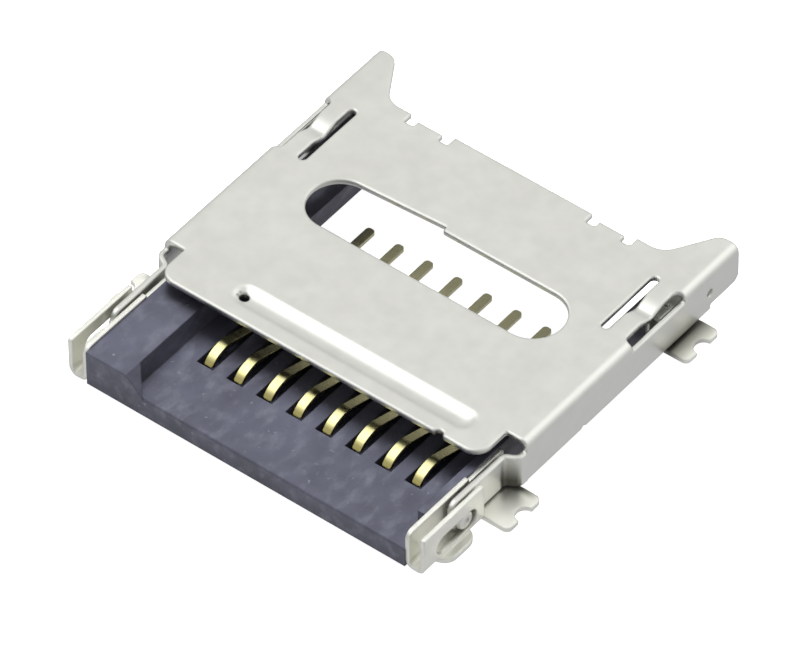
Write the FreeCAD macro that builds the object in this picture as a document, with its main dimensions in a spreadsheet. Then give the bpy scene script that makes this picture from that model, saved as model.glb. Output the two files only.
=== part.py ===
"""Hinged memory card connector for a circuit board.

A moulded base carries eight spring contacts in a comb of slots and four sheet brackets that are soldered
to the board. A folded cover shell turns on two pivot pins at the contact end. The pins also slide in long
slots in the front brackets, so that two lugs on the cover go under the rear brackets and lock it shut.
X runs along the contact row, Y from the contact end to the card's end, Z up from the board.
"""
import FreeCAD, Part
import math
import os

import Sketcher
from FreeCAD import Vector

doc = FreeCAD.newDocument("card_connector")

# Driving sizes in millimetres. A station is a distance from the front face of the base. A text value is a
# formula: it ties a place to the pieces it has to fit, by a clearance or a length that has its own name.
SIZES = {
    # The base's floor, and the contact row from its free tips to its solder tails
    "floor_height": (0.70, "top of the contact floor and the arms"),
    "contact_pitch": (1.10, "spacing of the contacts"),
    "row_centre": (0.65, "middle of the contact row, right of the centre line"),
    "contact_width": (0.30, "width of a contact"),
    "contact_sheet": (0.12, "thickness of the contact strip"),
    "crest_radius": (0.80, "bend of the contact's crest"),
    "nose_radius": (0.60, "bend in front of the crest"),
    "anchor_radius": (0.30, "bend where the beam levels out"),
    "tip_round": (0.07, "rounding of the tip's corners"),
    "tail_round": (0.12, "rounding of the tail's end"),
    "tip_station": (2.31, "station of the contacts' free tips"),
    "nose_run": (0.25, "length from the tip to the bend in front of the crest"),
    "crest_run": (0.49, "length from that bend to the crest"),
    "beam_run": (2.00, "length of the spring beam"),
    "beam_margin": (0.15, "length of slot behind the beam"),
    "bar_length": (3.00, "length of the bar that holds the strips"),
    "tail_drop": (0.40, "length in which a tail comes down to the board"),
    "tail_length": (1.73, "length of a tail behind the bar"),
    "nose_station": ("tip_station + nose_run", "station of the bend in front of the crest"),
    "crest_station": ("nose_station + crest_run", "station of the crest's bend"),
    "anchor_station": ("crest_station + beam_run", "station where the beam levels out"),
    "comb_rear": ("anchor_station + beam_margin", "station where the strips enter the bar"),
    "bar_reach": ("comb_rear + bar_length", "station where the bar ends and the open centre begins"),
    "tail_station": ("bar_reach + tail_drop", "station where the tails reach the board"),
    "tail_reach": ("bar_reach + tail_length", "station of the tails' rounded ends"),
    "comb_floor": (0.14, "thickness left below the comb slots"),
    "comb_width": (0.60, "width of a comb slot"),
    "comb_lead": (0.17, "length of slot in front of a tip"),
    "comb_front": ("tip_station - comb_lead", "station of the comb slots' front ends"),
    "strip_fit": (0.01, "clearance of the strip in its channel"),
    "strip_lift": (0.06, "space between the strip and the slot's floor"),
    "anchor_height": ("comb_floor + strip_lift + contact_sheet / 2", "height of the strip in the bar"),
    "crest_rise": (0.22, "how far the crest's bend stands above the floor"),
    "nose_rise": (0.09, "how far the bend in front of it stands above the floor"),
    "tip_drop": (0.16, "how far the tip lies below the floor"),
    "contact_crest": ("floor_height + crest_rise", "height of the crest's bend"),
    "contact_nose": ("floor_height + nose_rise", "height of the bend in front of it"),
    "contact_tip": ("floor_height - tip_drop", "height of the free tip"),
    # The base housing
    "left_arm_width": (1.36, "width of the arm on the keyed side"),
    "right_arm_width": (0.75, "width of the other arm"),
    "tail_gap": (0.50, "space between the last contact and the right arm"),
    "base_half_width": (
        "row_centre + contact_pitch * 3.5 + contact_width / 2 + tail_gap + right_arm_width",
        "centre line to the side face of the base",
    ),
    "arm_length": (4.70, "length of the arms behind the bar"),
    "base_reach": ("bar_reach + arm_length", "station of the rear ends of the arms"),
    "base_edge": (0.05, "chamfer along the front edge of the floor"),
    "block_rise": (0.60, "height of the keying block above the floor"),
    "block_height": ("floor_height + block_rise", "top of the keying block"),
    "block_width": (1.50, "width of the keying block at its top"),
    "block_draft": (0.20, "how much wider the block is at its foot"),
    "block_run": (0.80, "how far the keying block runs back past the spring beams"),
    "block_reach": ("comb_rear + block_run", "station of the keying block's rear end"),
    "gusset_width": (0.42, "width of the gusset at the block's front corner"),
    "gusset_reach": (0.68, "station where the gusset ends"),
    "rail_width": (0.30, "width of the rails beside the card"),
    "rail_rise": (0.60, "height of the rails above the floor"),
    "rail_height": ("floor_height + rail_rise", "top of the rails"),
    "right_rail_front": (1.00, "station where the right rail begins"),
    # The soldered brackets
    "bracket_sheet": (0.15, "thickness of the brackets' sheet"),
    "bracket_bend": (0.28, "outside radius of the brackets' bends"),
    "leg_gap": (0.40, "space between the legs of a front bracket"),
    "bracket_half_width": (
        "base_half_width + bracket_sheet * 2 + leg_gap",
        "centre line to the outside of the front bracket",
    ),
    "inner_leg_height": (1.38, "top of the front bracket's inner leg"),
    "inner_leg_low": (1.25, "top of that leg behind its step"),
    "outer_leg_height": (1.42, "top of the outer leg"),
    "inner_leg_corner": (0.30, "rounding of the inner leg's front corner"),
    "outer_leg_corner": (0.12, "rounding of the outer leg's front corner"),
    "bracket_front": (0.04, "station of the bracket's front edge"),
    "leg_margin": (0.75, "how far the outer leg reaches behind the pivot"),
    "outer_leg_rear": ("pivot_station + leg_margin", "station of the outer leg's rear edge"),
    "foot_length": (1.60, "length of a solder foot"),
    "inner_leg_rear": ("outer_leg_rear + foot_length", "station of the inner leg's rear edge"),
    "foot_spread": (1.56, "width of a foot from the side of the base"),
    "foot_reach": ("base_half_width + foot_spread", "centre line to the outer edge of the solder feet"),
    "foot_corner": (0.20, "rounding of the solder feet"),
    "foot_notch": (0.30, "radius of the notch between a foot's lobes"),
    "tab_reach": (0.30, "how far the half round tab stands out"),
    "tab_front": (0.62, "station where that tab begins"),
    "tab_length": (1.64, "length of that tab"),
    "tab_round": (0.45, "rounding of that tab"),
    "rear_bracket_inset": (0.04, "distance of the rear bracket from the arms' ends"),
    "rear_bracket_rear": ("base_reach - rear_bracket_inset", "station of the rear bracket's rear edge"),
    "rear_bracket_front": ("rear_bracket_rear - foot_length", "station of its front edge"),
    "flange_drop": (0.50, "how far the lock flange lies below the cover's top"),
    "flange_gap": (0.09, "space between the flange and the cover's wall"),
    "flange_hole": (0.09, "radius of the hole in the flange"),
    "flange_hole_inset": (0.60, "distance of that hole from the flange's front edge"),
    "tongue_depth": (0.32, "how far a bracket's tongue reaches into the base"),
    "tongue_length": (0.60, "length of that tongue"),
    "tongue_bottom": (0.35, "height of the tongue's underside"),
    "tongue_inset": (0.50, "distance of a tongue from the front of its foot"),
    "front_tongue": ("outer_leg_rear + tongue_inset", "station of the front bracket's tongue"),
    "rear_tongue": ("rear_bracket_front + tongue_inset", "station of the rear bracket's tongue"),
    "tongue_fit": (0.01, "clearance round a tongue"),
    # The cover's sheet
    "cover_sheet": (0.20, "thickness of the cover's sheet"),
    "card_space": (0.90, "height between the floor and the cover's underside"),
    "cover_top": ("floor_height + card_space + cover_sheet", "top face of the cover"),
    "wall_spread": (0.85, "distance from the side of the base to the outside of the cover"),
    "cover_half_width": ("base_half_width + wall_spread", "centre line to the outside of the side wall"),
    "fold_radius": (0.30, "outside radius of the cover's folds"),
    "wall_clearance": (0.10, "space between the side walls and the solder feet"),
    "wall_bottom": ("bracket_sheet + wall_clearance", "height of the side walls' lower edge"),
    "panel_lead": (1.33, "distance from the pivot to the cover's front edge"),
    "panel_front": ("pivot_station + panel_lead", "station of the cover's front edge"),
    "panel_overlap": (0.07, "how far the panel's front reaches past the side of the base"),
    "panel_side": ("base_half_width + panel_overlap", "half width of the panel's front"),
    "panel_corner": (0.55, "rounding of the panel's front corners"),
    "edge_notch": (0.15, "radius of the notch in the panel's front edge"),
    "edge_notch_place": (4.47, "centre line to that notch"),
    "wall_lead": (0.35, "distance from the joggle to the front of the side walls"),
    "wall_front": ("joggle_rear + wall_lead", "station where the side walls begin"),
    "wall_nick": (0.10, "half width of the nick in the walls' lower edge"),
    "nick_run": (2.63, "distance from the front of the side walls to that nick"),
    # The cover's rear edge and ears
    "edge_overhang": (0.21, "how far the rear edge reaches past the base"),
    "rear_edge": ("base_reach + edge_overhang", "station of the panel's rear edge"),
    "ear_length": (1.59, "length of the ears"),
    "ear_reach": ("rear_edge + ear_length", "station of the ear tips, the connector's whole length"),
    "ear_width": (1.65, "width of the ears at their roots"),
    "ear_root": ("cover_half_width - ear_width", "centre line to the root of the ear's curve"),
    "ear_tip_width": (0.67, "width of the ears at their shoulders"),
    "ear_shoulder": ("cover_half_width - ear_tip_width", "centre line to the shoulder of the ear"),
    "ear_curve": (0.75, "rounding at the ear's root"),
    "ear_round": (0.45, "rounding at the ear's shoulder"),
    "ear_step_run": (0.23, "distance from the rear edge to the step below the ears"),
    "ear_step": ("rear_edge + ear_step_run", "station of the step in the walls' lower edge"),
    "ear_rise": (0.17, "height of that step"),
    "ear_wall_bottom": ("wall_bottom + ear_rise", "height of the lower edge under the ears"),
    "ear_corner": (0.30, "rounding of the ears' lower corners"),
    "notch_inset": (0.90, "distance from the ear's root to the outer notch"),
    "notch_outer": ("ear_root - notch_inset", "centre line to the outer side of the outer notch"),
    "tab_span": (1.63, "width across both notches"),
    "notch_inner": ("notch_outer - tab_span", "centre line to the inner side of the inner notch"),
    "notch_width": (0.35, "width of the notches in the rear edge"),
    "notch_depth": (0.38, "depth of those notches"),
    "notch_round": (0.08, "rounding in those notches"),
    "tab_drop": (0.14, "how far the tab between them stays back"),
    # The window over the solder tails
    "window_inset": (2.13, "distance from the side wall to the end of the window"),
    "window_half": ("cover_half_width - window_inset", "half length of the window"),
    "window_centre": (0.07, "centre line to the middle of the window"),
    "window_lead": (0.37, "how far the window reaches in front of the bar's rear face"),
    "window_front": ("bar_reach - window_lead", "station of the window's front edge"),
    "window_width": (2.04, "width of the window"),
    "window_step": (0.18, "depth of the step in the window's rear edge"),
    "window_step_place": (0.55, "distance from the window's middle to that step"),
    "window_slant": (3.00, "length over which the edge slants from the step back to the window's end"),
    # The two dipped springs beside the window
    "spring_inset": (0.40, "distance from the side of the base in to the spring's slot"),
    "slot_inner": ("base_half_width - spring_inset", "centre line to the inner edge of that slot"),
    "slot_width": (0.28, "width of that slot"),
    "spring_lead": (1.64, "how far the slot begins in front of the rear bracket"),
    "slot_front": ("rear_bracket_front - spring_lead", "station of the slot's front end"),
    "spring_length": (2.56, "length of the slot"),
    "slot_rear": ("slot_front + spring_length", "station of the slot's rear end"),
    "fold_opening": (0.35, "width of the opening in the fold"),
    "opening_inner": ("cover_half_width - fold_opening", "centre line to the edge of that opening"),
    "opening_drop": (0.32, "how far that opening runs down the side wall"),
    "opening_length": (2.50, "length of that opening"),
    "opening_round": (0.20, "rounding of its corners"),
    "dip_depth": (0.21, "how far the spring strip dips"),
    "dip_lead": (0.31, "distance from the dip's lowest line to the rear bracket"),
    "dip_low": ("rear_bracket_front - dip_lead", "station of the dip's lowest line"),
    "dip_ramp": (0.52, "length of the dip's front side"),
    "dip_front": ("dip_low - dip_ramp", "station where the dip begins"),
    "dip_rise": (0.55, "length of the dip's rear side"),
    "dip_radius": (0.30, "rounding of the dip's lowest line"),
    "dip_rear": ("dip_low + dip_rise", "station where the dip ends"),
    # The holding rib behind the cover's front edge
    "rib_half": (4.42, "half length of the rib"),
    "rib_inset": (0.90, "distance from the front edge to the rib"),
    "rib_station": ("panel_front + rib_inset", "station of the rib"),
    "rib_width": (0.80, "width of the rib's hollow"),
    "rib_depth": (0.14, "depth of that hollow"),
    "rib_radius": (
        "(rib_width ^ 2 / 4 + rib_depth ^ 2) / (2 * rib_depth)",
        "radius of the hollow's section",
    ),
    "rib_level": ("cover_top - rib_depth + rib_radius", "height of the line that the hollow is round about"),
    "rib_rim": (0.30, "rounding of the hollow's rim"),
    "rib_hole": (0.15, "radius of the small hole at the rib's end"),
    "rib_hole_inset": (0.34, "distance of that hole from the rib's end"),
    # The hinge arms, the pins they turn on, and the slide
    "pivot_station": (2.05, "station of the pivot axis with the cover as shown"),
    "pivot_height": (0.60, "height of the pivot axis"),
    "arm_drop": (0.38, "how far the cover's hinge arms reach below the pivot"),
    "arm_nose": (0.42, "how far they reach in front of it"),
    "arm_heel": (0.37, "rounding of their lower front corner, which turns over the bracket's floor"),
    "arm_brow": (0.30, "rounding of their upper front corner"),
    "hinge_arm_length": (2.02, "distance from the pivot to the joggle"),
    "joggle_front": ("pivot_station + hinge_arm_length", "station where the joggle reaches the arm's plane"),
    "joggle_run": (0.22, "length of the joggle"),
    "joggle_rear": ("joggle_front + joggle_run", "station where the joggle leaves the wall's plane"),
    "joggle_radius": (0.12, "bends of the joggle"),
    "joggle_drop": (0.40, "how far the tops of the arm and the joggle lie below the cover's"),
    "joggle_top": ("cover_top - joggle_drop", "top of the arm and the joggle"),
    "pin_radius": (0.32, "radius of the pin's head in the bracket's slot"),
    "shank_radius": (0.20, "radius of the pin's shank in the arm"),
    "pin_dome": (0.12, "rounding of the pin's outer edge"),
    "pin_dimple": (0.10, "radius of the centre mark in the pin"),
    "pin_dimple_depth": (0.05, "depth of that mark"),
    "pin_inset": (0.04, "how far the pin ends inside the bracket's outer face"),
    "running_fit": (0.03, "clearance of the pin in its slot and in the arm"),
    "slide_play": (0.08, "free length of the slot behind the pin"),
    "slide_travel": (1.10, "travel of the cover towards the contact end"),
    # The lugs that go under the rear brackets
    "flange_reach": (
        "cover_half_width - cover_sheet - flange_gap",
        "centre line to the outer edge of the lock flange",
    ),
    "flange_height": ("cover_top - flange_drop", "top of the lock flange"),
    "lug_radius": (0.18, "radius of the cover's lock lugs"),
    "lug_clearance": (0.04, "space between a lug and the flange above it"),
    "lug_height": (
        "flange_height - bracket_sheet - lug_clearance - lug_radius",
        "height of the lugs' centres",
    ),
    "lug_gap": (0.44, "distance from the rear bracket to the lugs with the cover as shown"),
    "lug_station": ("rear_bracket_rear + lug_gap", "station of the lugs"),
    "lug_reach": (0.28, "how far the lugs reach in from the wall"),
}

# Lengths
# A Size keeps a formula for the sheet together with its present value, so that a sketch can be drawn in
# the right place and still be bound to the cells.


class Size:
    def __init__(self, formula, value):
        self.formula = formula
        self.value = value

    def __add__(self, other):
        other = as_size(other)
        return Size(f"({self.formula} + {other.formula})", self.value + other.value)

    def __sub__(self, other):
        other = as_size(other)
        return Size(f"({self.formula} - {other.formula})", self.value - other.value)

    def __rsub__(self, other):
        return as_size(other) - self

    def __mul__(self, factor):
        factor = as_size(factor)
        return Size(f"({self.formula} * {factor.formula})", self.value * factor.value)

    def __truediv__(self, factor):
        return Size(f"({self.formula} / {factor})", self.value / factor)

    def __neg__(self):
        return self * -1

    __radd__ = __add__
    __rmul__ = __mul__


def as_size(value):
    """Return the value as a Size."""
    return value if isinstance(value, Size) else Size(f"({value})", float(value))


class Sheet:
    """The spreadsheet of driving sizes, read as attributes."""

    def __init__(self):
        self.cells = doc.addObject("Spreadsheet::Sheet", "Sizes")
        for row, (alias, (value, note)) in enumerate(SIZES.items(), start=1):
            self.cells.set(f"A{row}", note)
            self.cells.setAlias(f"B{row}", alias)
        for row, (value, note) in enumerate(SIZES.values(), start=1):
            self.cells.set(f"B{row}", f"={value}" if isinstance(value, str) else str(value))
        doc.recompute()

    def __getattr__(self, alias):
        return Size(f"Sizes.{alias}", float(self.cells.get(alias)))


d = Sheet()


def station(distance):
    """Turn a distance from the base's front face into a Y coordinate."""
    return as_size(distance) - d.ear_reach / 2


# Sketches and features
# Each plane's sketch axes: XY draws x and y, XZ draws x and z, YZ draws y and z.

NORMAL = {"XY_Plane": 1, "XZ_Plane": -1, "YZ_Plane": 1}


def new_body(label):
    body = doc.addObject("PartDesign::Body", label)
    body.Label = label
    return body


def new_sketch(body, plane, offset):
    """Add a sketch parallel to one of the body's own planes, at a coordinate along that plane's axis."""
    sketch = body.newObject("Sketcher::SketchObject", body.Label + "_sketch")
    support = [part for part in body.Origin.OriginFeatures if part.Role == plane][0]
    sketch.AttachmentSupport = (support, [""])
    sketch.MapMode = "FlatFace"
    sketch.setExpression("AttachmentOffset.Base.z", (as_size(offset) * NORMAL[plane]).formula)
    return sketch


def pin_point(sketch, geometry, end, place):
    """Fix a point of the sketch at a place given by two Sizes."""
    for kind, size in zip(("DistanceX", "DistanceY"), place):
        size = as_size(size)
        index = sketch.addConstraint(Sketcher.Constraint(kind, -1, 1, geometry, end, size.value))
        sketch.setExpression(f"Constraints[{index}]", size.formula)


def fix_radius(sketch, geometry, radius):
    radius = as_size(radius)
    index = sketch.addConstraint(Sketcher.Constraint("Radius", geometry, radius.value))
    sketch.setExpression(f"Constraints[{index}]", radius.formula)


def corner_arc(before, corner, after, radius):
    """Return the arc that rounds a corner, and the points where it starts and ends."""
    back = (before - corner).normalize()
    ahead = (after - corner).normalize()
    half = back.getAngle(ahead) / 2
    start = corner + back * (radius / math.tan(half))
    end = corner + ahead * (radius / math.tan(half))
    centre = corner + (back + ahead).normalize() * (radius / math.sin(half))
    middle = centre + (corner - centre).normalize() * radius
    return Part.Arc(start, middle, end), start, end


def draw_chain(sketch, corners, closed=True):
    """Draw straight runs through corners given as (u, v) or, where rounded, as (u, v, radius)."""
    count = len(corners)
    spots = [Vector(as_size(c[0]).value, as_size(c[1]).value, 0) for c in corners]
    markers = []
    starts, ends, arcs = list(spots), list(spots), [None] * count
    for i, corner in enumerate(corners):
        if len(corner) == 3:
            after = spots[(i + 1) % count]
            arcs[i], ends[i], starts[i] = corner_arc(spots[i - 1], spots[i], after, as_size(corner[2]).value)
            markers.append(sketch.addGeometry(Part.Point(spots[i]), True))
            pin_point(sketch, markers[i], 1, corner)
        else:
            markers.append(None)
    runs = []
    for i in range(count if closed else count - 1):
        j = (i + 1) % count
        runs.append(sketch.addGeometry(Part.LineSegment(starts[i], ends[j]), False))
        for k in (i, j):
            if markers[k] is not None:
                sketch.addConstraint(Sketcher.Constraint("PointOnObject", markers[k], 1, runs[i]))
    for i, corner in enumerate(corners):
        into = runs[i - 1] if closed or i > 0 else None
        away = runs[i] if i < len(runs) else None
        if arcs[i] is not None:
            arc = sketch.addGeometry(arcs[i], False)
            join_arc(sketch, arc, into, away)
            fix_radius(sketch, arc, corner[2])
        else:
            if into is not None and away is not None:
                sketch.addConstraint(Sketcher.Constraint("Coincident", into, 2, away, 1))
            pin_point(sketch, into if into is not None else away, 2 if into is not None else 1, corner)


def join_arc(sketch, arc, into, away):
    """Make an arc tangent to the runs before and after it, whichever way round it is drawn."""
    begins = sketch.getPoint(arc, 1)
    first = 1 if begins.distanceToPoint(sketch.getPoint(into, 2)) < 1e-6 else 2
    sketch.addConstraint(Sketcher.Constraint("Tangent", into, 2, arc, first))
    sketch.addConstraint(Sketcher.Constraint("Tangent", arc, 3 - first, away, 1))


def draw_circle(sketch, u, v, radius):
    centre = Vector(as_size(u).value, as_size(v).value, 0)
    circle = Part.Circle(centre, Vector(0, 0, 1), as_size(radius).value)
    index = sketch.addGeometry(circle, False)
    pin_point(sketch, index, 3, (u, v))
    fix_radius(sketch, index, radius)


def box_corners(u_low, u_high, v_low, v_high, radius=None):
    """Return the corners of a rectangle, rounded where a radius is given."""
    rounding = () if radius is None else (radius,)
    pairs = [(u_low, v_low), (u_high, v_low), (u_high, v_high), (u_low, v_high)]
    return [pair + rounding for pair in pairs]


def draw_obround(sketch, first, last, radius):
    """Draw a slot with round ends about two centres that lie along U or along V."""
    a = Vector(as_size(first[0]).value, as_size(first[1]).value, 0)
    b = Vector(as_size(last[0]).value, as_size(last[1]).value, 0)
    size = as_size(radius).value
    along = (b - a).normalize()
    side = Vector(-along.y, along.x, 0) * size
    runs = [Part.LineSegment(a - side, b - side), Part.LineSegment(b + side, a + side)]
    caps = [Part.Arc(b - side, b + along * size, b + side), Part.Arc(a + side, a - along * size, a - side)]
    low, high = [sketch.addGeometry(run, False) for run in runs]
    far, near = [sketch.addGeometry(cap, False) for cap in caps]
    join_arc(sketch, far, low, high)
    join_arc(sketch, near, high, low)
    for cap, place in ((far, last), (near, first)):
        pin_point(sketch, cap, 3, place)
        fix_radius(sketch, cap, radius)


def draw_trough(sketch, left, right, level, radius, rim):
    """Draw a long trough about the line from left to right at one level, open at the height of its rim.

    The line itself is drawn too, as the axis that the trough's section can turn about.
    """
    low = Vector(as_size(left).value, as_size(level).value, 0)
    high = Vector(as_size(right).value, as_size(level).value, 0)
    size = as_size(radius).value
    drop = low.y - as_size(rim).value
    spread = math.sqrt(size ** 2 - drop ** 2)
    half = math.radians(45) - math.asin(drop / size) / 2
    down = Vector(0, -size, 0)
    bow = Vector(math.sin(half) * size, -math.cos(half) * size, 0)
    axis = sketch.addGeometry(Part.LineSegment(low, high), True)
    rim_right = high + Vector(spread, -drop, 0)
    rim_left = low + Vector(-spread, -drop, 0)
    lid = sketch.addGeometry(Part.LineSegment(rim_left, rim_right), False)
    bottom = sketch.addGeometry(Part.LineSegment(high + down, low + down), False)
    bows = []
    for end, centre, mouth, side in ((high, 2, rim_right, 1), (low, 1, rim_left, -1)):
        middle = end + Vector(bow.x * side, bow.y, 0)
        arc = sketch.addGeometry(Part.Arc(mouth, middle, end + down), False)
        top = 1 if mouth.distanceToPoint(sketch.getPoint(arc, 1)) < 1e-6 else 2
        sketch.addConstraint(Sketcher.Constraint("Coincident", arc, 3, axis, centre))
        sketch.addConstraint(Sketcher.Constraint("Coincident", arc, top, lid, 2 if side > 0 else 1))
        sketch.addConstraint(Sketcher.Constraint("Tangent", arc, 3 - top, bottom, 1 if side > 0 else 2))
        fix_radius(sketch, arc, radius)
        bows.append(arc)
    pin_point(sketch, axis, 1, (left, level))
    pin_point(sketch, axis, 2, (right, level))
    for point in (1, 2):
        index = sketch.addConstraint(Sketcher.Constraint("DistanceY", -1, 1, lid, point, as_size(rim).value))
        sketch.setExpression(f"Constraints[{index}]", as_size(rim).formula)


def extrude(body, kind, sketch, length, reverse=False):
    feature = body.newObject(kind, body.Label + "_" + kind.split("::")[1].lower())
    feature.Profile = sketch
    feature.Reversed = reverse
    feature.setExpression("Length", as_size(length).formula)
    sketch.Visibility = False
    return feature


def pad(body, plane, offset, corners, length, reverse=False):
    """Add material from a chain of corners, along the sketch's normal unless reversed."""
    sketch = new_sketch(body, plane, offset)
    draw_chain(sketch, corners)
    return extrude(body, "PartDesign::Pad", sketch, length, reverse)


def pocket(body, plane, offset, corners, length, reverse=False):
    """Cut a chain of corners, against the sketch's normal unless reversed."""
    sketch = new_sketch(body, plane, offset)
    draw_chain(sketch, corners)
    return extrude(body, "PartDesign::Pocket", sketch, length, reverse)


def finish_edges(body, kind, size, spots, axis):
    """Round or chamfer the straight edges along an axis that pass through the given spots."""
    doc.recompute()
    base = body.Tip
    names = []
    for number, edge in enumerate(base.Shape.Edges, start=1):
        ends = [vertex.Point for vertex in edge.Vertexes]
        if len(ends) == 2 and abs((ends[1] - ends[0]).normalize()[axis]) > 0.9999:
            if any(edge_passes(ends[0], spot, axis) for spot in spots):
                names.append(f"Edge{number}")
    feature = body.newObject("PartDesign::" + kind, body.Label + "_" + kind.lower())
    feature.Base = (base, names)
    feature.setExpression("Radius" if kind == "Fillet" else "Size", as_size(size).formula)
    return feature


def edge_passes(point, spot, axis):
    """Tell whether an edge's end lies at a spot, which gives the two coordinates across the axis."""
    across = [point[i] for i in range(3) if i != axis]
    return all(abs(value - as_size(size).value) < 1e-4 for value, size in zip(across, spot))


# Base housing
# One moulding: the contact floor with its comb, two arms round an open centre, the keying block that
# only lets the card in one way round, and the rails beside the card.

def make_base_housing():
    body = new_body("base_housing")
    side = d.base_half_width
    left_inner = -side + d.left_arm_width
    right_inner = side - d.right_arm_width
    outline = [
        (-side, station(0)),
        (side, station(0)),
        (side, station(d.base_reach)),
        (right_inner, station(d.base_reach)),
        (right_inner, station(d.bar_reach)),
        (left_inner, station(d.bar_reach)),
        (left_inner, station(d.base_reach)),
        (-side, station(d.base_reach)),
    ]
    pad(body, "XY_Plane", 0, outline, d.floor_height)
    finish_edges(body, "Chamfer", d.base_edge, [(station(0), d.floor_height)], 0)
    add_keying_block(body)
    upright = d.rail_height - d.floor_height
    left_rail = box_corners(-side, -side + d.rail_width, station(d.block_reach), station(d.base_reach))
    right_rail = box_corners(side - d.rail_width, side, station(d.right_rail_front), station(d.base_reach))
    pad(body, "XY_Plane", d.floor_height, left_rail, upright)
    pad(body, "XY_Plane", d.floor_height, right_rail, upright)
    cut_tongue_pockets(body)
    cut_comb(body)
    return body


def add_keying_block(body):
    side = d.base_half_width
    top = -side + d.block_width
    foot = top + d.block_draft
    # The block and its gusset start below the floor's chamfered edge, so its front face has no groove.
    root = d.floor_height - d.base_edge
    section = [
        (-side, root),
        (foot, root),
        (foot, d.floor_height),
        (top, d.block_height),
        (-side, d.block_height),
    ]
    pad(body, "XZ_Plane", station(d.block_reach), section, d.block_reach)
    plan = [
        (top, station(0)),
        (foot + d.gusset_width, station(0)),
        (top, station(d.gusset_reach)),
    ]
    pad(body, "XY_Plane", root, plan, d.block_height - root)
    slope = [
        (top, d.block_height),
        (foot + d.gusset_width, d.floor_height),
        (foot + d.gusset_width, d.block_height),
    ]
    pocket(body, "XZ_Plane", station(0), slope, d.gusset_reach)
    finish_edges(body, "Chamfer", d.base_edge / 2, [(station(0), d.block_height)], 0)


def cut_tongue_pockets(body):
    """Cut the pockets that the four brackets' tongues are pressed into."""
    side = d.base_half_width
    half = d.tongue_length / 2 + d.tongue_fit
    for middle in (d.front_tongue, d.rear_tongue):
        mouth = box_corners(
            station(middle - half),
            station(middle + half),
            d.tongue_bottom - d.tongue_fit,
            d.tongue_bottom + d.bracket_sheet + d.tongue_fit,
        )
        depth = d.tongue_depth + d.tongue_fit
        pocket(body, "YZ_Plane", side, mouth, depth)
        pocket(body, "YZ_Plane", -side, mouth, depth, reverse=True)


def cut_comb(body):
    """Cut the slot and the channel of the first contact, and repeat them along the row."""
    first = d.row_centre - d.contact_pitch * 3.5
    half = d.comb_width / 2
    slot = box_corners(first - half, first + half, station(d.comb_front), station(d.comb_rear))
    comb = pocket(body, "XY_Plane", d.floor_height, slot, d.floor_height - d.comb_floor)
    half = d.contact_width / 2 + d.strip_fit
    low = d.anchor_height - d.contact_sheet / 2 - d.strip_fit
    high = d.anchor_height + d.contact_sheet / 2 + d.strip_fit
    mouth = box_corners(first - half, first + half, low, high)
    channel = pocket(body, "XZ_Plane", station(d.bar_reach), mouth, d.bar_reach - d.comb_rear, reverse=True)
    row = body.newObject("PartDesign::LinearPattern", "comb_row")
    row.Originals = [comb, channel]
    along = [axis for axis in body.Origin.OriginFeatures if axis.Role == "X_Axis"][0]
    row.Direction = (along, [""])
    row.setExpression("Length", (d.contact_pitch * 7).formula)
    row.Occurrences = 8
    body.Tip = row


# Contacts
# One gold plated strip each: a curled nose and crest that press on the card, a spring beam that falls
# towards the bar, a straight stretch held in the bar, and a solder tail flat on the board.

def make_contact(number):
    body = new_body(f"contact_{number}")
    half_sheet = d.contact_sheet / 2
    middle = d.row_centre + d.contact_pitch * (number - 4.5)
    spine = new_sketch(body, "YZ_Plane", middle)
    route = [
        (station(d.tail_reach), half_sheet),
        (station(d.tail_station), half_sheet, d.contact_sheet),
        (station(d.bar_reach), d.anchor_height, d.contact_sheet),
        (station(d.anchor_station), d.anchor_height, d.anchor_radius),
        (station(d.crest_station), d.contact_crest, d.crest_radius),
        (station(d.nose_station), d.contact_nose, d.nose_radius),
        (station(d.tip_station), d.contact_tip),
    ]
    draw_chain(spine, route, closed=False)
    section = new_sketch(body, "XZ_Plane", station(d.tail_reach))
    half = d.contact_width / 2
    draw_chain(section, box_corners(middle - half, middle + half, 0, d.contact_sheet))
    doc.recompute()
    strip = body.newObject("PartDesign::AdditivePipe", body.Label + "_strip")
    strip.Profile = section
    strip.Spine = (spine, [])
    spine.Visibility = False
    section.Visibility = False
    tail = station(d.tail_reach)
    finish_edges(body, "Fillet", d.tail_round, [(middle - half, tail), (middle + half, tail)], 2)
    round_tip(body)
    return body


def round_tip(body):
    """Round the two corners of the free tip."""
    doc.recompute()
    base = body.Tip
    tip = Vector(0, station(d.tip_station).value, d.contact_tip.value)
    names = []
    for number, edge in enumerate(base.Shape.Edges, start=1):
        centre = Vector(0, edge.CenterOfMass.y, edge.CenterOfMass.z)
        if abs(edge.Length - d.contact_sheet.value) < 1e-4 and centre.distanceToPoint(tip) < 1e-3:
            names.append(f"Edge{number}")
    feature = body.newObject("PartDesign::Fillet", body.Label + "_tip")
    feature.Base = (base, names)
    feature.setExpression("Radius", d.tip_round.formula)


# Cover shell
# One folded sheet: the top panel with its window, springs and ears, two side walls, and two hinge arms
# that are joggled inwards to pass between the legs of the front brackets.

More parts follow.
